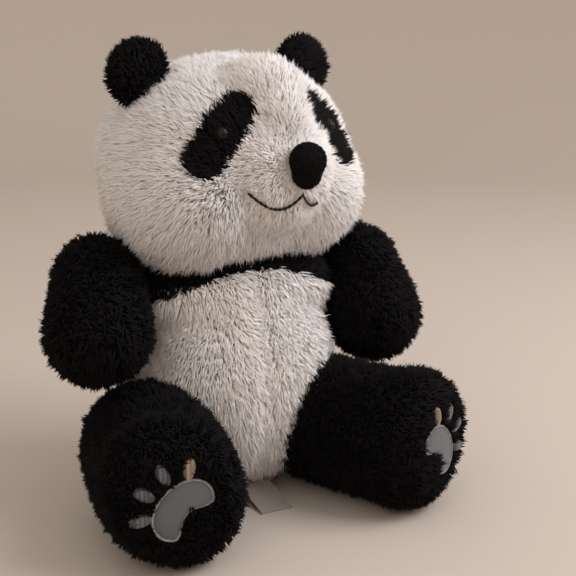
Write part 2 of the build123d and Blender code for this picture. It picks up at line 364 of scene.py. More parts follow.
for name, skin in skins.items():
    if name.startswith("leg"):
        matrix = np.array(frames[name])
        local = in_frame(corners(skin), name)
        local[:, 2] = np.minimum(local[:, 2], sole_level)
        set_corners(skin, local @ matrix[:3, :3].T + matrix[:3, 3])
    if not name.startswith(("ear", "tail", "neck")):
        puff(skin)
print("skins:", {name: len(skin.data.vertices) for name, skin in skins.items()})

# %% [markdown]
# Seams pull the cloth in. Down the middle of the belly two panels meet, so the skin dips along that line,
# and each eye patch lies in a shallow hollow between the brow, the cheek and the bridge.

# %% Seam and hollows
PATCH_HALF = np.array((12.5, 28.0)) * MM
PATCH_SLANT = math.radians(38)
HOLLOW_DEPTH = 2.0 * MM
SEAM_DEPTH = 3.0 * MM
SEAM_REACH = 4 * MM
patch_out = Vector([(a - b) / r**2 for a, b, r in zip(patch_mid, head_mid, HEAD_HALF)]).normalized()
patch_across = Vector((0, 0, 1)).cross(patch_out).normalized()
patch_up = patch_out.cross(patch_across)


def in_patch(places, margin=0.0):
    """How far out of the nearer eye patch a place is: under 1 is inside."""
    near = np.array(places, dtype=np.float64)
    near[:, 0] = np.abs(near[:, 0])
    near -= np.array(patch_mid)
    u, v = near @ np.array(patch_across), near @ np.array(patch_up)
    across = (u * math.cos(PATCH_SLANT) + v * math.sin(PATCH_SLANT)) / (PATCH_HALF[0] + margin)
    along = (v * math.cos(PATCH_SLANT) - u * math.sin(PATCH_SLANT)) / (PATCH_HALF[1] + margin)
    inside = (np.abs(across) ** 3 + np.abs(along) ** 3) ** (1 / 3)
    return np.where(near @ np.array(patch_out) > -25 * MM, inside, 9.0)


places = corners(torso_skin)
front = places[:, 1] < torso_mid.y
places[:, 1] += np.where(front, SEAM_DEPTH * np.exp(-((places[:, 0] / SEAM_REACH) ** 2)), 0)
set_corners(torso_skin, places)
places = corners(head_skin)
hollow = np.clip(1.5 - in_patch(places, 4 * MM), 0, 1)
outward = places - np.array(head_mid)
outward /= np.linalg.norm(outward, axis=1, keepdims=True)
set_corners(head_skin, places - outward * (hollow * HOLLOW_DEPTH)[:, None])
for skin in skins.values():
    subdivided(skin)
print("points in a hollow:", int((hollow > 0).sum()))

# %% [markdown]
# ## Materials
# Two effects come back in many materials, so each is a node group with named sockets: the pile's painted
# shade, deep at the root and gone at the tip, and the fine rows of thread in ribbon and embroidery, with
# painted shade in the grooves between them. Groups only put out colours and values. The shader itself stays
# in each material.

# %% A small helper for node groups
def new_group(name, inputs, outputs):
    group = bpy.data.node_groups.new(name, "ShaderNodeTree")
    kinds = {"color": "NodeSocketColor", "value": "NodeSocketFloat", "vector": "NodeSocketVector"}
    for label, kind in inputs:
        group.interface.new_socket(label, in_out="INPUT", socket_type=kinds[kind])
    for label, kind in outputs:
        group.interface.new_socket(label, in_out="OUTPUT", socket_type=kinds[kind])
    return group, group.nodes.new("NodeGroupInput"), group.nodes.new("NodeGroupOutput")


def mix_colour(nodes, links, factor, first, second, blend="MIX"):
    mix = nodes.new("ShaderNodeMix")
    mix.data_type = "RGBA"
    mix.blend_type = blend
    for socket, source in ((mix.inputs[0], factor), (mix.inputs[6], first), (mix.inputs[7], second)):
        if isinstance(source, bpy.types.NodeSocket):
            links.new(source, socket)
        else:
            socket.default_value = source
    return mix.outputs[2]


# %% [markdown]
# Each tuft carries two numbers: strand runs from 0 at the root to 1 at the tip, and tone is the tuft's own
# tint. The root colour is painted shade for the dark deep in the pile, it fades out towards the tip, and the
# tone slides between two colours.

# %% Pile tone group
def make_pile_group():
    group, entry, leave = new_group(
        "pile tone",
        [("Root Shade", "color"), ("Cool", "color"), ("Warm", "color"), ("Root Depth", "value")],
        [("Color", "color"), ("Roughness", "value")],
    )
    nodes, links = group.nodes, group.links
    strand = nodes.new("ShaderNodeAttribute")
    strand.attribute_name = "strand"
    tone = nodes.new("ShaderNodeAttribute")
    tone.attribute_name = "tone"
    body = mix_colour(nodes, links, tone.outputs["Fac"], entry.outputs["Warm"], entry.outputs["Cool"])
    lift = nodes.new("ShaderNodeMath")
    lift.operation = "POWER"
    links.new(strand.outputs["Fac"], lift.inputs[0])
    links.new(entry.outputs["Root Depth"], lift.inputs[1])
    # From root to tip the colour goes from painted shade, the dark deep in the pile, to the tuft's tone.
    links.new(mix_colour(nodes, links, lift.outputs[0], entry.outputs["Root Shade"], body), leave.inputs["Color"])
    rough = nodes.new("ShaderNodeMapRange")
    rough.inputs["To Min"].default_value = 1.0
    rough.inputs["To Max"].default_value = 0.72
    links.new(strand.outputs["Fac"], rough.inputs["Value"])
    links.new(rough.outputs["Result"], leave.inputs["Roughness"])
    return group


pile_group = make_pile_group()


def new_material(name, sheen=0.0, roughness=0.8, specular=0.3):
    material = bpy.data.materials.new(name)
    material.use_nodes = True
    shader = material.node_tree.nodes["Principled BSDF"]
    shader.inputs["Roughness"].default_value = roughness
    shader.inputs["Specular IOR Level"].default_value = specular
    shader.inputs["Sheen Weight"].default_value = sheen
    shader.inputs["Sheen Roughness"].default_value = 0.5
    return material, material.node_tree.nodes, material.node_tree.links, shader


def add_noise(nodes, scale, detail=2.0):
    noise = nodes.new("ShaderNodeTexNoise")
    noise.inputs["Scale"].default_value = scale
    noise.inputs["Detail"].default_value = detail
    return noise.outputs["Fac"]


def add_relief(nodes, links, shader, height, strength, distance=0.3 * MM):
    bump = nodes.new("ShaderNodeBump")
    bump.inputs["Strength"].default_value = strength
    bump.inputs["Distance"].default_value = distance
    links.new(height, bump.inputs["Height"])
    links.new(bump.outputs["Normal"], shader.inputs["Normal"])


def pile_material(name, root, cool, warm, depth, sheen, specular):
    material, nodes, links, shader = new_material(name, sheen=sheen, specular=specular)
    pile = nodes.new("ShaderNodeGroup")
    pile.node_tree = pile_group
    pile.inputs["Root Shade"].default_value = (*root, 1)
    pile.inputs["Cool"].default_value = (*cool, 1)
    pile.inputs["Warm"].default_value = (*warm, 1)
    pile.inputs["Root Depth"].default_value = depth
    links.new(pile.outputs["Color"], shader.inputs["Base Color"])
    links.new(pile.outputs["Roughness"], shader.inputs["Roughness"])
    return material


# The root colours are painted shade for the dark deep in the pile; the cool and warm colours are the pile's
# own.
white_pile = pile_material(
    "white pile", root=(0.78, 0.72, 0.66), cool=(0.93, 0.92, 0.94), warm=(0.89, 0.84, 0.78),
    depth=0.5, sheen=0.2, specular=0.3,
)
black_pile = pile_material(
    "black pile", root=(0.001, 0.001, 0.001), cool=(0.007, 0.006, 0.008), warm=(0.010, 0.008, 0.008),
    depth=1.2, sheen=0.01, specular=0.10,
)
print("pile materials:", white_pile.name, "and", black_pile.name)

# %% [markdown]
# The knitted backing shows only between tufts. Noise breaks it up, and a fine wave gives the knit a little
# relief.

# %% Cloth backing
def backing_material(name, dark, light):
    material, nodes, links, shader = new_material(name, roughness=0.95)
    spots = add_noise(nodes, 350, 3)
    colour = mix_colour(nodes, links, spots, (*dark, 1), (*light, 1))
    links.new(colour, shader.inputs["Base Color"])
    knit = nodes.new("ShaderNodeTexWave")
    knit.inputs["Scale"].default_value = 300
    knit.inputs["Distortion"].default_value = 2
    add_relief(nodes, links, shader, knit.outputs["Fac"], 0.4)
    return material


white_backing = backing_material("white backing", (0.70, 0.65, 0.60), (0.82, 0.78, 0.74))
black_backing = backing_material("black backing", (0.004, 0.004, 0.004), (0.010, 0.009, 0.010))

# %% [markdown]
# ## Pile
# A tuft is a thin three-sided spike of two lengths, bent in the direction that the pile is combed.
# Neighbouring tufts lean towards a common tip, which gives the clumped look of plush that has been handled.
# Particle hair would be quicker to set up, but it leaves no mesh behind, and these pieces should be real
# shapes.

# %% Scatter roots evenly over a skin
random = np.random.default_rng(11)


def scatter(skin, spacing):
    """Evenly spread places on a skin, with smooth normals, roughly one for each square of the spacing."""
    mesh = skin.data
    mesh.calc_loop_triangles()
    faces = np.empty(len(mesh.loop_triangles) * 3, dtype=np.int32)
    mesh.loop_triangles.foreach_get("vertices", faces)
    faces = faces.reshape(-1, 3)
    where = corners(skin)
    flat = np.empty(len(mesh.vertices) * 3)
    mesh.vertices.foreach_get("normal", flat)
    normals = flat.reshape(-1, 3)
    a, b, c = (where[faces[:, i]] for i in range(3))
    area = np.linalg.norm(np.cross(b - a, c - a), axis=1) / 2
    total = area.sum()
    count = int(total / spacing**2)
    picks = (np.arange(count) + random.random(count)) / count * total
    chosen = np.minimum(np.searchsorted(np.cumsum(area), picks), len(area) - 1)
    u, v = random.random(count), random.random(count)
    over = u + v > 1
    u, v = np.where(over, 1 - u, u), np.where(over, 1 - v, v)
    weights = np.stack([1 - u - v, u, v], axis=1)[:, :, None]
    roots = (where[faces[chosen]] * weights).sum(axis=1)
    ups = (normals[faces[chosen]] * weights).sum(axis=1)
    return roots, unit(ups)


def unit(vectors):
    return vectors / np.maximum(np.linalg.norm(vectors, axis=-1, keepdims=True), 1e-12)


# %% [markdown]
# All tufts of one panel go into a single mesh, because thousands of separate objects would be slow to
# handle. Each point also carries its strand and tone, and a normal that is bent towards the skin's own, so
# that light rolls over the pile as over a soft mass and not over hard little spikes.

# %% Grow tufts from roots
def clumped(roots, tips, size, pull):
    """Draws each tip towards the tip of the nearest clump's leader."""
    leaders = np.arange(0, len(roots), size)
    tree = kdtree.KDTree(len(leaders))
    for number in leaders:
        tree.insert(roots[number], int(number))
    tree.balance()
    nearest = np.array([tree.find(root)[1] for root in roots])
    return tips + (tips[nearest] - tips) * np.asarray(pull)[:, None]


def tuft_mesh(name, roots, ups, lengths, combs, tones, width, clump, pull):
    """All tufts of one panel as a single mesh, with strand and tone on every corner."""
    count = len(roots)
    lengths = lengths[:, None]
    knee = roots + unit(ups + combs * 0.5) * lengths * 0.5
    tips = knee + unit(ups * 0.55 + combs) * lengths * 0.55
    tips += random.normal(0, 0.09, (count, 3)) * lengths
    tips = clumped(roots, tips, clump, pull * random.uniform(0.5, 1.2, count))
    knee = knee * 0.72 + (roots + tips) * 0.14
    side = unit(np.cross(ups, random.normal(0, 1, (count, 3))))
    other = np.cross(ups, side)
    rings = []
    for middle, radius in ((roots - ups * 0.4 * MM, 0.55), (knee, 0.45)):
        for step in range(3):
            angle = step * math.tau / 3
            spoke = side * math.cos(angle) + other * math.sin(angle)
            rings.append(middle + spoke * width * radius)
    rings.append(tips)
    verts = np.stack(rings, axis=1)
    verts[:, :, 2] = np.maximum(verts[:, :, 2], 0.2 * MM)
    pattern = [(2, 1, 0)]
    pattern += [(i, j, j + 3) for i, j in ((0, 1), (1, 2), (2, 0))]
    pattern += [(i, j + 3, i + 3) for i, j in ((0, 1), (1, 2), (2, 0))]
    pattern += [(3, 4, 6), (4, 5, 6), (5, 3, 6)]
    pattern = np.array(pattern)
    faces = (np.arange(count)[:, None, None] * 7 + pattern[None]).reshape(-1)
    mesh = bpy.data.meshes.new(name)
    mesh.vertices.add(count * 7)
    mesh.vertices.foreach_set("co", verts.ravel())
    mesh.loops.add(len(faces))
    mesh.loops.foreach_set("vertex_index", faces)
    mesh.polygons.add(len(faces) // 3)
    mesh.polygons.foreach_set("loop_start", np.arange(0, len(faces), 3))
    mesh.polygons.foreach_set("loop_total", np.full(len(faces) // 3, 3))
    mesh.polygons.foreach_set("use_smooth", np.full(len(faces) // 3, True))
    mesh.update(calc_edges=True)
    strand = np.tile([0, 0, 0, 0.5, 0.5, 0.5, 1.0], count)
    tone = np.repeat(tones, 7)
    for label, values in (("strand", strand), ("tone", tone)):
        mesh.attributes.new(label, "FLOAT", "POINT").data.foreach_set("value", values)
    spread = np.tile([0, 0.5, 1, 0, 0.5, 1, 0.5], count) * 0.04
    layout = np.stack([(tone * 0.95 + spread)[faces], strand[faces]], axis=1)
    mesh.uv_layers.new(name="OFBake").data.foreach_set("uv", layout.ravel())
    outward = unit(verts - roots[:, None, :] - middle_line(roots, tips, verts))
    soft = unit((ups[:, None, :] * 0.8 + outward * 0.45).reshape(-1, 3))
    mesh.normals_split_custom_set_from_vertices(soft)
    return mesh


def middle_line(roots, tips, verts):
    """The point of each tuft's middle line that is nearest to each of its corners, from the root."""
    line = (tips - roots)[:, None, :]
    share = ((verts - roots[:, None, :]) * line).sum(axis=2) / np.maximum((line**2).sum(axis=2), 1e-12)
    return line * share[:, :, None]


# %% [markdown]
# The pile is not one colour. Its tone follows a soft wavy field between a warmer and a cooler colour, with
# some scatter from tuft to tuft.

# %% Tone and comb fields
def wavy(places):
    """A smooth field between about -1 and 1, with waves some 14 cm long."""
    x, y, z = (places * 45).T
    return (np.sin(x + 1.7 * np.sin(y)) + np.sin(y * 1.3 + 1.1 * np.sin(z)) + np.sin(z * 0.9 + x * 0.7)) / 3


def tones_at(places, base):
    """Shades about a base: 0 is the warm one and 1 the cool one."""
    return np.clip(base + 0.25 * wavy(places) + random.normal(0, 0.15, len(places)), 0, 1)


def along_skin(field, ups):
    """The part of a direction that lies along the skin."""
    return field - ups * (field * ups).sum(axis=1, keepdims=True)


def head_comb(places, ups):
    """Out from the nose, then down over the cheeks and the chin."""
    away = unit(along_skin(places - np.array(nose_mid), ups))
    down = np.array((0, 0, -1.0)) * np.clip((head_mid.z - places[:, 2]) / (40 * MM), 0, 1)[:, None]
    return unit(along_skin(away * 0.8 + down * 0.9, ups)) * 0.75


def down_comb(places, ups):
    """Down, and a little towards the middle seam."""
    inward = np.zeros_like(places)
    inward[:, 0] = -np.sign(places[:, 0]) * np.exp(-np.abs(places[:, 0]) / (12 * MM))
    return unit(along_skin(np.array((0, 0, -1.0)) + inward * 0.5, ups)) * 0.8


def limb_comb(matrix, column, strength=0.5):
    """Along one of a limb's own axes: 1 is y and 2 is z. A negative strength combs it the other way."""
    direction = np.array(matrix)[:3, column]
    return lambda places, ups: unit(along_skin(np.tile(direction, (len(places), 1)), ups)) * strength


# %% [markdown]
# A finished piece needs a material, a body that it rides on, and the CAD nodes that it stands for. One
# helper sets all three. It also keeps a list of what belongs to the head, which is turned at the end.

# %% Finish a piece, and grow a panel's pile
head_pieces = []
tuft_counts = {}


def finish_piece(piece, body, material, slot, *nodes):
    """Material, body and the CAD nodes that the piece stands for, if any. The slot is not used."""
    piece.data.materials.append(material)
    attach(piece, body)
    if nodes:
        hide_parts(*nodes)
    if body == "head":
        head_pieces.append(piece)
    return piece


def grow(name, body, bed, keep, length, width, material, comb, base_tone, slot, *nodes,
         tousle=0.25, clump=14, pull=0.45):
    """One panel's pile: the kept roots of a scattered bed grow tufts, and the piece stands for the nodes."""
    roots, ups = bed[0][keep], bed[1][keep]
    lengths = np.broadcast_to(length, len(keep))[keep] * random.uniform(0.75, 1.2, len(roots))
    combs = comb(roots, ups)
    combs = combs + random.normal(0, tousle, combs.shape)
    tones = tones_at(roots, base_tone)
    mesh = tuft_mesh(name, roots, ups, lengths, combs, tones, width, clump, pull)
    finish_piece(add_mesh(name, mesh), body, material, slot, *nodes)
    tuft_counts[name] = len(roots)
    print(name, len(roots), "tufts")


# %% [markdown]
# ### The smile
# The mouth is a line of black thread that is pulled down into the pile. Its line is found first, because the
# tufts near it have to be short.

# %% Line of the smile
head_tree = BVHTree.FromPolygons(
    [v.co for v in head_skin.data.vertices], [tuple(p.vertices) for p in head_skin.data.polygons]
)


def on_face(x, z):
    """The face's surface in front of a place, and its normal."""
    place, normal, _, _ = head_tree.ray_cast(Vector((x, cad_low.y - 0.05, z)), Vector((0, 1, 0)))
    return place, normal


SMILE_HALF = 28 * MM
SMILE_TOP = nose_mid.z - 16.5 * MM
SMILE_DEPTH = 8 * MM


def smile_point(t):
    """t runs from -1 at the right end, by 0 under the nose, to 1 at the left end."""
    bend = SMILE_DEPTH * math.sin(math.pi * abs(t) ** 0.85)
    return on_face(t * SMILE_HALF, SMILE_TOP - bend + abs(t) ** 3 * 1.5 * MM)


SMILE_STEPS = 40
smile = [smile_point(i / SMILE_STEPS) for i in range(-SMILE_STEPS, SMILE_STEPS + 1)]
smile_tree = kdtree.KDTree(len(smile))
for number, (place, _) in enumerate(smile):
    smile_tree.insert(place, number)
smile_tree.balance()
print("smile is", round(2 * SMILE_HALF / MM), "mm wide")

# %% [markdown]
# ### Head pile
# The face has the longest pile, combed out from the nose, and it hides the seams. Black tufts grow only
# inside the two slanted eye patches.

# %% Head pile: how long, and where
HEAD_SPACING = 0.95 * MM
FACE_PILE = 8.5 * MM
CHEEK_EXTRA = 3.5 * MM
MUZZLE_PILE = 8 * MM


def ball_distance(places, middle, radii):
    """How far out of a stretched ball a place is: 1 on its surface."""
    return np.linalg.norm((places - np.array(middle)) / np.array(radii), axis=1)


bed = scatter(head_skin, HEAD_SPACING)
roots = bed[0]
x, y, z = roots.T
patch = in_patch(roots + random.normal(0, 0.5 * MM, roots.shape)) < 1
to_smile = np.array([smile_tree.find(root)[2] for root in roots])
to_nose = ball_distance(roots, nose_mid, (0.0125, 0.010, 0.014))
on_muzzle = ball_distance(roots, muzzle_mid, (0.040, 0.034, 0.037)) < 1
low_cheek = np.clip((head_mid.z - 10 * MM - z) / (45 * MM), 0, 1)
length = FACE_PILE + CHEEK_EXTRA * low_cheek
length = np.where(on_muzzle, MUZZLE_PILE, length)
length *= np.clip((to_smile - 1.0 * MM) / (5 * MM), 0.25, 1)
length *= np.clip((to_nose - 0.9) / 0.9, 0.45, 1)
bare = (to_smile < 1.1 * MM) | (to_nose < 0.95)
back_half = y > head_mid.y
gusset = (np.abs(x) < 17 * MM) & ~on_muzzle
white = ~patch & ~bare
print("roots on the head:", len(roots))

# %% [markdown]
# The head is sewn from a gusset over the crown and pairs of panels for the cheeks, the back and the muzzle.
# Each panel's pile is a piece of its own, just as each is a piece of cloth of its own on the toy.

# %% Head pile: panel by panel
head_panels = {"crown_pile": (white & gusset, "head_gusset")}
for kind, cloth in (
    ("cheek", ~gusset & ~on_muzzle & ~back_half),
    ("head_back", ~gusset & back_half),
    ("muzzle", on_muzzle),
):
    for side, sign in SIDES.items():
        head_panels[f"{kind}_pile_{side}"] = (white & cloth & (x * sign > 0), f"{kind}_panel_{side}")
for name, (keep, node) in head_panels.items():
    grow(name, "head", bed, keep, length, 0.95 * MM, white_pile, head_comb, 0.72, "white_plush", node)
for side, sign in SIDES.items():
    grow("patch_pile_" + side, "head", bed, patch & (x * sign > 0), 9 * MM, 1.1 * MM, black_pile,
         head_comb, 0.5, "black_plush", "eye_patch_" + side, tousle=0.35)

# %% [markdown]
# ### Torso pile
# White pile on the belly is combed down and towards the middle seam. The yoke over the shoulders is black
# and runs up under the chin, where it meets the black collar of the neck.

# %% Torso pile
ARCH_RISE = 15 * MM
ARCH_HALF = 60 * MM
ARCH_DROP = 4 * MM
bed = scatter(torso_skin, 1.0 * MM)
x, y, z = bed[0].T
arch = ARCH_RISE * np.cos(np.clip(x / ARCH_HALF, -1, 1) * math.pi / 2) - ARCH_DROP
black = z + random.normal(0, 0.6 * MM, len(z)) > yoke_low + arch
under = z < 2.5 * MM
front = y < torso_mid.y
torso_panels = {
    f"{kind}_pile_{side}": (~black & ~under & cloth & (x * sign > 0), 8.5 * MM, f"{kind}_panel_{side}")
    for kind, cloth in (("belly", front), ("back", ~front))
    for side, sign in SIDES.items()
}
torso_panels["base_pile"] = (under, 3 * MM, "base_panel")
for name, (keep, size, node) in torso_panels.items():
    grow(name, "torso", bed, keep, size, 1.0 * MM, white_pile, down_comb, 0.66, "white_plush", node)
grow("yoke_pile", "torso", bed, black, 8 * MM, 1.2 * MM, black_pile, down_comb, 0.5,
     "black_plush", "shoulder_yoke", tousle=0.4)

# %% [markdown]
# ### Where the soles stay bare
# Pads are sewn onto the sole, and no pile grows through them. Their outlines are needed twice, now to leave
# room and later to build the pads, so they are written down first: a broad bean, and four toes on an arc
# above it.

# %% Outlines of the pads
PAD_TURN = math.radians(45)
PAD_DROP = 2 * MM
PAD_RADII = (19 * MM, 14 * MM)
HEEL_RADIUS = 13 * MM
HEEL_DROP = 16 * MM
TOE_ARC = 23 * MM
TOE_RADII = (3.4 * MM, 6.4 * MM)
TOE_ANGLES = [math.radians(a) for a in (-54, -18, 18, 54)]


def to_pad(u, v):
    """Turns sole coordinates, x outward and y up, into the pads' own, with the toes along +y."""
    c, s = math.cos(-PAD_TURN), math.sin(-PAD_TURN)
    return u * c + v * s, -u * s + v * c


def pad_cover(u, v, margin):
    """True where the main pad or a toe pad lies."""
    px, py = to_pad(u, v)
    py = py + PAD_DROP
    main = (px / (PAD_RADII[0] + margin)) ** 2 + (py / (PAD_RADII[1] + margin)) ** 2 < 1
    main &= px**2 + (py + HEEL_DROP) ** 2 > (HEEL_RADIUS - margin) ** 2
    cover = main
    for angle in TOE_ANGLES:
        along = (px * math.sin(angle) + py * math.cos(angle) - TOE_ARC) / (TOE_RADII[1] + margin)
        across = (px * math.cos(angle) - py * math.sin(angle)) / (TOE_RADII[0] + margin)
        cover = cover | (across**2 + along**2 < 1)
    return cover


# %% [markdown]
# ### Limbs, ears and tail
# The black pile is a little shorter and more matted, so its tufts are wider, more tousled and more tightly
# clumped. Each limb has two panels, an outer and an inner one, and a leg has a sole of its own.

# %% Limb pile
LIMB_SPACING = 1.15 * MM
LIMB_PILE = 6.5 * MM
BLACK_WIDTH = 1.2 * MM
for side, sign in SIDES.items():
    arm, leg, ear = (frames[limb + side] for limb in ("arm_", "leg_", "ear_"))
    bed = scatter(skins["arm_" + side], LIMB_SPACING)
    outer = (bed[0][:, 0] - arm.translation.x) * sign > 0
    for name, keep in (("outer", outer), ("inner", ~outer)):
        grow(f"arm_{name}_pile_{side}", f"arm_{side}", bed, keep, LIMB_PILE, BLACK_WIDTH, black_pile,
             limb_comb(arm, 2, -0.5), 0.45, "black_plush", f"arm_{name}_panel_{side}", tousle=0.45, pull=0.6)
    bed = scatter(skins["leg_" + side], LIMB_SPACING)
    x, y, z = in_frame(bed[0], "leg_" + side).T
    sole = z > sole_level - 0.5 * MM
    for name, keep in (("outer", (x > 0) & ~sole), ("inner", ~(x > 0) & ~sole)):
        grow(f"leg_{name}_pile_{side}", f"leg_{side}", bed, keep, LIMB_PILE, BLACK_WIDTH, black_pile,
             limb_comb(leg, 2), 0.45, "black_plush", f"leg_{name}_panel_{side}", tousle=0.45, pull=0.6)
    grow(f"sole_pile_{side}", f"leg_{side}", bed, sole & ~pad_cover(x, y, 0.4 * MM), 5.5 * MM, BLACK_WIDTH,
         black_pile, limb_comb(leg, 1), 0.5, "black_plush", f"sole_panel_{side}", tousle=0.5)
    bed = scatter(skins["ear_" + side], 1.1 * MM)
    facing = bed[0][:, 1] < ear.translation.y
    for name, keep in (("front", facing), ("back", ~facing)):
        grow(f"ear_{name}_pile_{side}", f"ear_{side}", bed, keep, 6 * MM, 1.3 * MM, black_pile,
             limb_comb(ear, 2), 0.5, "black_plush", f"ear_{name}_{side}", tousle=0.3)

for name, node, size, width, material, tone, slot in (
    ("tail", "tail", 6.5 * MM, 1.3 * MM, white_pile, 0.6, "white_plush"),
    ("neck", "neck_collar", 5 * MM, 1.4 * MM, black_pile, 0.5, "black_plush"),
):
    bed = scatter(skins[name], 1.3 * MM)
    grow(name + "_pile", name, bed, bed[0][:, 2] > 0, size, width, material, down_comb, tone, slot, node)
print("tufts in all:", sum(tuft_counts.values()))

# %% [markdown]
# ### The skins take their places
# Each skin rides on its own body and stands for the stuffing inside it. The table also lists how full each
# padded piece is.

# %% Skins
skin_rules = {
    "torso": ("torso", ["torso_stuffing", "bean_bag"], 0.8),
    "head": ("head", ["head_stuffing", "muzzle_stuffing", "neck_gather"], 0.85),
    "neck": ("neck", ["neck_stuffing"], 0.8),
    "tail": ("tail", [], 0.7),
}
for side in SIDES:
    skin_rules["arm_" + side] = ("arm_" + side, ["arm_stuffing_" + side], 0.7)
    skin_rules["leg_" + side] = ("leg_" + side, ["leg_stuffing_" + side], 0.7)
    skin_rules["ear_" + side] = ("ear_" + side, [], 0.3)


def face_middles(piece):
    flat = np.empty(len(piece.data.polygons) * 3)
    piece.data.polygons.foreach_get("center", flat)
    return flat.reshape(-1, 3)


for name, (body, nodes, fill) in skin_rules.items():
    skin = skins[name]
    middles = face_middles(skin)
    slot = "white_plush" if name in ("torso", "head", "tail") else "black_plush"
    skin.data.materials.append(white_backing)
    finish_piece(skin, body, black_backing, slot, *nodes)
    if name == "torso":
        dark = middles[:, 2] > yoke_low + 4 * MM
    elif name == "head":
        dark = in_patch(middles) < 1
    else:
        dark = np.full(len(middles), name != "tail")
    skin.data.polygons.foreach_set("material_index", dark.astype(np.int32))
print("skins finished:", len(skin_rules))

# %% [markdown]
# ## Nose, smile, pads and label
# These small pieces draw the eye, so they are modelled on their own.

# %% Thread rows group
def make_thread_group():
    group, entry, leave = new_group(
        "thread rows",
        [("Vector", "vector"), ("Thread", "color"), ("Groove Shade", "color"), ("Rows", "value")],
        [("Color", "color"), ("Height", "value")],
    )
    nodes, links = group.nodes, group.links
    waves = []
    for direction in ("X", "Y"):
        wave = nodes.new("ShaderNodeTexWave")
        wave.bands_direction = direction
        wave.inputs["Distortion"].default_value = 0.6
        wave.inputs["Detail"].default_value = 1.0
        links.new(entry.outputs["Vector"], wave.inputs["Vector"])
        links.new(entry.outputs["Rows"], wave.inputs["Scale"])
        waves.append(wave.outputs["Fac"])
    both = nodes.new("ShaderNodeMath")
    both.operation = "MULTIPLY"
    links.new(waves[0], both.inputs[0])
    links.new(waves[1], both.inputs[1])
    root = nodes.new("ShaderNodeMath")
    root.operation = "POWER"
    root.inputs[1].default_value = 0.5
    links.new(both.outputs[0], root.inputs[0])
    # Low between the rows the colour turns to the gap colour: painted shade in the grooves between threads.
    links.new(mix_colour(nodes, links, root.outputs[0], entry.outputs["Groove Shade"], entry.outputs["Thread"]),
              leave.inputs["Color"])
    links.new(root.outputs[0], leave.inputs["Height"])
    return group


thread_group = make_thread_group()


def thread_material(name, thread, groove_shade, rows, sheen=0.3, relief=0.3 * MM):
    """Rows of thread, with painted shade in the grooves between them. More rows make a finer thread."""
    material, nodes, links, shader = new_material(name, sheen=sheen, roughness=0.55)
    place = nodes.new("ShaderNodeTexCoord")
    rowed = nodes.new("ShaderNodeGroup")
    rowed.node_tree = thread_group
    links.new(place.outputs["Object"], rowed.inputs["Vector"])
    rowed.inputs["Thread"].default_value = (*thread, 1)
    rowed.inputs["Groove Shade"].default_value = (*groove_shade, 1)
    rowed.inputs["Rows"].default_value = rows
    links.new(rowed.outputs["Color"], shader.inputs["Base Color"])
    add_relief(nodes, links, shader, rowed.outputs["Height"], 0.6, relief)
    return material


# The second colour of each is painted shade, for the grooves between the threads.
tan_thread = thread_material("tan thread", (0.42, 0.33, 0.24), (0.15, 0.11, 0.07), 130)
grey_thread = thread_material("grey thread", (0.13, 0.135, 0.15), (0.04, 0.04, 0.045), 130)
edge_thread = thread_material("edge thread", (0.36, 0.36, 0.38), (0.16, 0.16, 0.17), 260)
black_thread = thread_material("black thread", (0.012, 0.011, 0.012), (0.004, 0.004, 0.004), 400, sheen=0.1)
ribbon = thread_material("ribbon", (0.40, 0.35, 0.31), (0.28, 0.24, 0.21), 420, sheen=0.4, relief=0.05 * MM)

# %% [markdown]
# The main pad is felt. Two sizes of noise give the mottled grey of short fibres.

# %% Felt
def felt_material():
    material, nodes, links, shader = new_material("grey felt", sheen=0.3, roughness=0.9)
    coarse = add_noise(nodes, 260, 4)
    fine = add_noise(nodes, 1800)
    mixed = mix_colour(nodes, links, coarse, (0.07, 0.075, 0.085, 1), (0.11, 0.115, 0.13, 1))
    light = mix_colour(nodes, links, fine, mixed, (0.15, 0.155, 0.17, 1))
    links.new(light, shader.inputs["Base Color"])
    add_relief(nodes, links, shader, fine, 0.7)
    return material


grey_felt = felt_material()

# %% [markdown]
# A pad is a low dome on its own outline: rings of points shrink towards the middle while they rise, so the
# edge is round and there is no flat top.

# %% Domed pads
PAD_THICK = 3.2 * MM
PAD_RINGS = 7


def dome(name, outline, place, rise):
    """A closed low dome over a flat outline. place turns pad coordinates into the toy's."""
    count = len(outline)
    middle = np.mean(outline, axis=0)
    verts, faces = [], []
    for ring in range(PAD_RINGS):
        angle = ring / PAD_RINGS * math.pi / 2
        shrink = math.cos(angle) ** 0.55
        height = rise * math.sin(angle) ** 0.8
        for point in outline:
            u, v = middle + (point - middle) * shrink
            verts.append(place @ Vector((u, v, height)))
    top = len(verts)
    verts.append(place @ Vector((*middle, rise)))
    base = len(verts)
    verts.append(place @ Vector((*middle, -1.0 * MM)))
    for ring in range(PAD_RINGS - 1):
        for i in range(count):
            a, b = ring * count + i, ring * count + (i + 1) % count
            faces.append((a, b, b + count, a + count))
    last = (PAD_RINGS - 1) * count
    for i in range(count):
        j = (i + 1) % count
        faces.append((last + i, last + j, top))
        faces.append((j, i, base))
    mesh = bpy.data.meshes.new(name)
    mesh.from_pydata([tuple(v) for v in verts], [], faces)
    form = bmesh.new()
    form.from_mesh(mesh)
    bmesh.ops.recalc_face_normals(form, faces=form.faces)
    form.to_mesh(mesh)
    form.free()
    shade_smooth(mesh)
    return add_mesh(name, mesh)


def ellipse_outline(radii, count=36):
    angles = np.arange(count) / count * math.tau
    return np.stack([radii[0] * np.cos(angles), radii[1] * np.sin(angles)], axis=1)


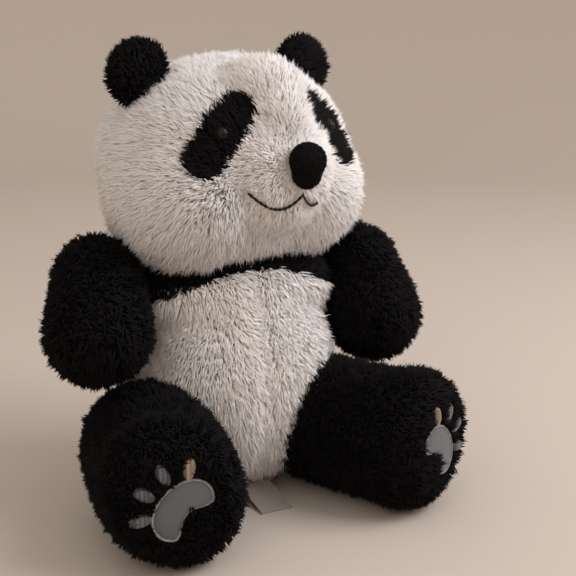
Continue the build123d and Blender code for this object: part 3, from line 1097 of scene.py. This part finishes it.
def bean_outline(count=64):
    """The main pad: an ellipse with a round bite at the heel, traced from a point near its top."""
    centre = np.array((0.0, 5 * MM))
    stride = 0.1 * MM
    points = []
    for angle in np.arange(count) / count * math.tau:
        step = np.array((math.cos(angle), math.sin(angle)))
        reach = 0.0
        while True:
            u, v = centre + step * (reach + stride)
            out = (u / PAD_RADII[0]) ** 2 + (v / PAD_RADII[1]) ** 2 > 1
            if out or u**2 + (v + HEEL_DROP) ** 2 < HEEL_RADIUS**2:
                break
            reach += stride
        points.append(centre + step * reach)
    points = np.array(points)
    for _ in range(2):
        points = (np.roll(points, 1, axis=0) + points * 2 + np.roll(points, -1, axis=0)) / 4
    return points


def tube(name, path, radius, closed=False):
    """A round thread along a path: a curve with a round bevel, turned into a mesh."""
    curve = bpy.data.curves.new(name, "CURVE")
    curve.dimensions = "3D"
    curve.bevel_depth = radius
    curve.bevel_resolution = 2
    line = curve.splines.new("POLY")
    line.points.add(len(path) - 1)
    for point, place in zip(line.points, path):
        point.co = (*place, 1)
    line.use_cyclic_u = closed
    draft = bpy.data.objects.new(name + "_curve", curve)
    bpy.context.scene.collection.objects.link(draft)
    graph = bpy.context.evaluated_depsgraph_get()
    mesh = bpy.data.meshes.new_from_object(draft.evaluated_get(graph))
    bpy.data.objects.remove(draft)
    shade_smooth(mesh)
    return add_mesh(name, mesh)


# %% [markdown]
# The main pad and its toes are set on the sole in the leg's frame. A ring of pale thread covers the felt's
# cut edge, and the innermost toe is tan while the others are grey.

# %% Pads on both soles
for side in SIDES:
    spin = Matrix.Rotation(-PAD_TURN, 4, "Z")
    pads = frames["leg_" + side] @ Matrix.Translation((0, 0, sole_level)) @ spin
    bean = bean_outline() - np.array((0, PAD_DROP))
    finish_piece(dome("main_pad_" + side, bean, pads, PAD_THICK), "leg_" + side, grey_felt, "grey_felt",
                 "sole_pad_" + side)
    rim = [pads @ Vector((u, v, PAD_THICK * 0.45)) for u, v in bean]
    finish_piece(tube("pad_rim_" + side, rim, 0.75 * MM, True), "leg_" + side, edge_thread, "grey_thread")
    for number, angle in enumerate(TOE_ANGLES, start=1):
        turn = Matrix.Rotation(-angle, 4, "Z")
        toe = pads @ Matrix.Translation((0, -PAD_DROP, 0)) @ turn @ Matrix.Translation((0, TOE_ARC, 0))
        piece = dome(f"toe_{number}_{side}", ellipse_outline(TOE_RADII), toe, PAD_THICK * 1.05)
        thread, slot = (tan_thread, "tan_thread") if number == 1 else (grey_thread, "grey_thread")
        finish_piece(piece, "leg_" + side, thread, slot, f"toe_pad_{number}_{side}")
print("pads on each sole:", 1 + len(TOE_ANGLES))

# %% [markdown]
# The smile is two strands twisted round each other, laid on the face just under the tips of the short tufts.

# %% Smile thread
THREAD_RADIUS = 0.55 * MM
THREAD_LIFT = 2.6 * MM
for strand in range(2):
    path = []
    for number, (place, normal) in enumerate(smile):
        angle = number * 0.9 + strand * math.pi
        twist = Vector((0, 0, 1)) * math.sin(angle) + normal * math.cos(angle)
        path.append(place + normal * THREAD_LIFT + twist * THREAD_RADIUS * 0.8)
    nodes = ["mouth_stitching"] if strand == 0 else []
    piece = tube(f"smile_thread_{strand + 1}", path, THREAD_RADIUS)
    finish_piece(piece, "head", black_thread, "black_thread", *nodes)

# %% [markdown]
# The nose is a little cushion of velvet, wide at the top and narrower below, with pile so short that it
# reads as a soft black surface.

# %% Nose
nose_skin = melted("nose_skin", [
    ball(nose_mid + Vector((0, -2 * MM, 2.5 * MM)), (0.0105, 0.0095, 0.0100)),
    ball(nose_mid + Vector((0, -1 * MM, -4 * MM)), (0.0080, 0.0085, 0.0095)),
], voxel=1.5 * MM, rounds=3)
subdivided(nose_skin)
finish_piece(nose_skin, "head", black_backing, "black_flock")
bed = scatter(nose_skin, 0.8 * MM)
in_front = bed[0][:, 1] < nose_mid.y + 6 * MM
grow("nose_pile", "head", bed, in_front, 1.4 * MM, 0.7 * MM, black_pile, down_comb, 0.6,
     "black_flock", "nose", clump=3, pull=0.1)

# %% [markdown]
# Now the finished head, with its pile, nose and smile, turns to look where the toy looks.

# %% Turn the head
for piece in head_pieces:
    piece.data.transform(head_turn)
print("pieces turned with the head:", len(head_pieces))

# %% [markdown]
# The care label is a folded satin ribbon, left blank. Its CAD shape is right, so it only needs its finish,
# and the same holds for the eyes and their washers, which lie deep in the pile.

# %% Label and eyes
def gloss_material():
    material, nodes, links, shader = new_material("eye gloss", roughness=0.3, specular=0.25)
    dark, light = (0.002, 0.002, 0.002, 1), (0.008, 0.007, 0.007, 1)
    colour = mix_colour(nodes, links, add_noise(nodes, 500), dark, light)
    links.new(colour, shader.inputs["Base Color"])
    return material


def set_material(node, material):
    piece = frame["nodes"][node]
    piece.data.materials.clear()
    piece.data.materials.append(material)


set_material("care_label", ribbon)
eye_gloss = gloss_material()
washer_plastic = backing_material("washer plastic", (0.55, 0.55, 0.53), (0.62, 0.62, 0.60))
for side in SIDES:
    set_material("eye_" + side, eye_gloss)
    set_material("eye_washer_" + side, washer_plastic)

# %% [markdown]
# ## Stage and light
# A plain pale bowl of paper stands in for floor and wall on all sides. Its curve leaves no corner where the
# floor would meet the wall, and it looks the same from every side.

# %% Stage
FLOOR_RADIUS = 1.4
CURVE_RADIUS = 0.8
WALL_TOP = 1.5
STAGE_STEPS = 96


def stage_profile():
    """Distance from the middle and height: a flat floor, a quarter curve and a low wall."""
    points = [(0.0, 0.0), (FLOOR_RADIUS, 0.0)]
    for angle in np.linspace(0.1, math.pi / 2, 12):
        points.append((FLOOR_RADIUS + CURVE_RADIUS * math.sin(angle), CURVE_RADIUS * (1 - math.cos(angle))))
    return points + [(FLOOR_RADIUS + CURVE_RADIUS, WALL_TOP)]


def make_stage():
    profile = stage_profile()
    verts = [(0, 0, 0)]
    for reach, height in profile[1:]:
        for step in range(STAGE_STEPS):
            angle = step / STAGE_STEPS * math.tau
            verts.append((reach * math.cos(angle), reach * math.sin(angle), height))
    faces = [(0, 1 + i, 1 + (i + 1) % STAGE_STEPS) for i in range(STAGE_STEPS)]
    for ring in range(len(profile) - 2):
        for i in range(STAGE_STEPS):
            a, b = 1 + ring * STAGE_STEPS + i, 1 + ring * STAGE_STEPS + (i + 1) % STAGE_STEPS
            faces.append((a, a + STAGE_STEPS, b + STAGE_STEPS, b))
    mesh = bpy.data.meshes.new("stage")
    mesh.from_pydata(verts, [], faces)
    shade_smooth(mesh)
    material, nodes, links, shader = new_material("stage paper", roughness=0.9)
    colour = mix_colour(nodes, links, add_noise(nodes, 3), (0.56, 0.49, 0.43, 1), (0.60, 0.53, 0.47, 1))
    links.new(colour, shader.inputs["Base Color"])
    mesh.materials.append(material)
    return add_mesh("stage", mesh)


make_stage()

# %% [markdown]
# One large soft light from the left of the toy stands in for a window and does most of the work. A weaker
# one fills from the other side, and the world adds a warm tone all round. Large lights give the soft edges
# of shadow that suit a furry thing.

# %% Lights
LAMP_SIZE = 1.0
LAMP_AIM = Vector((0, 0, 0.14))


def soft_light(name, place, power, colour):
    data = bpy.data.lights.new(name, "AREA")
    data.size = LAMP_SIZE
    data.energy = power
    data.color = colour
    lamp = bpy.data.objects.new(name, data)
    bpy.context.scene.collection.objects.link(lamp)
    lamp.location = place
    lamp.rotation_euler = (Vector(place) - LAMP_AIM).to_track_quat("Z", "Y").to_euler()


soft_light("window light", (0.95, -0.75, 1.05), power=17, colour=(1.0, 0.985, 1.0))
soft_light("fill light", (-1.0, -0.9, 0.7), power=3.5, colour=(1.0, 0.90, 0.80))
world = bpy.data.worlds.new("room")
world.use_nodes = True
ambient = world.node_tree.nodes["Background"]
ambient.inputs["Color"].default_value = (1.0, 0.94, 0.89, 1)
ambient.inputs["Strength"].default_value = 0.75
bpy.context.scene.world = world
bpy.context.scene.view_settings.view_transform = "Standard"
